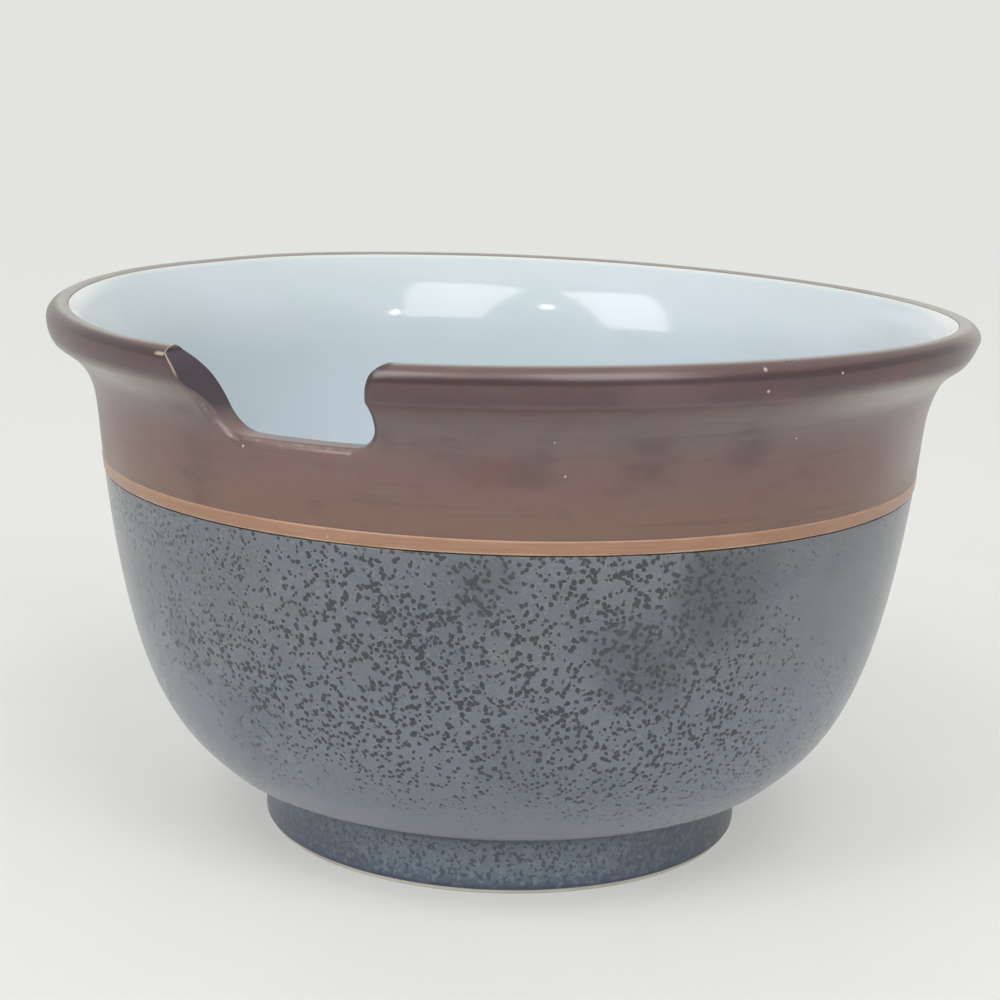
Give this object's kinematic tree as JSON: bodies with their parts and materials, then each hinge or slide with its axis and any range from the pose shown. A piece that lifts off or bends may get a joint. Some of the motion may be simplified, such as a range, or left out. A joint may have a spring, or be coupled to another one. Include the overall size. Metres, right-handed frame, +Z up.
{
  "type": "noodle bowl",
  "caption": "Deep footed stoneware noodle bowl with a flared lip, a cut notch in the lip to rest chopsticks in, a banded two-tone glaze outside and a glossy glaze inside.",
  "frame": {"origin": "on the table, under the axis of the bowl", "axes": "+Z up along the axis, -Y towards the front; the notch is 25 degrees round from the front, towards -X"},
  "size_m": [0.152, 0.152, 0.0888],
  "materials": {
    "clay": "bare fired stoneware",
    "inner_glaze": "pale blue gloss",
    "rim_glaze": "dark brown satin",
    "tan_slip": "copper tan satin",
    "speckled_glaze": "slate blue satin with dark speckles",
    "foot_glaze": "deep blue satin with dark speckles"
  },
  "bodies": {
    "root": {"clay_body": "clay", "foot_ring": "clay", "inner_glaze": "inner_glaze", "rim_glaze": "rim_glaze", "tan_band": "tan_slip", "speckled_glaze": "speckled_glaze", "foot_glaze": "foot_glaze", "base_glaze": "foot_glaze"}
  },
  "joints": []
}
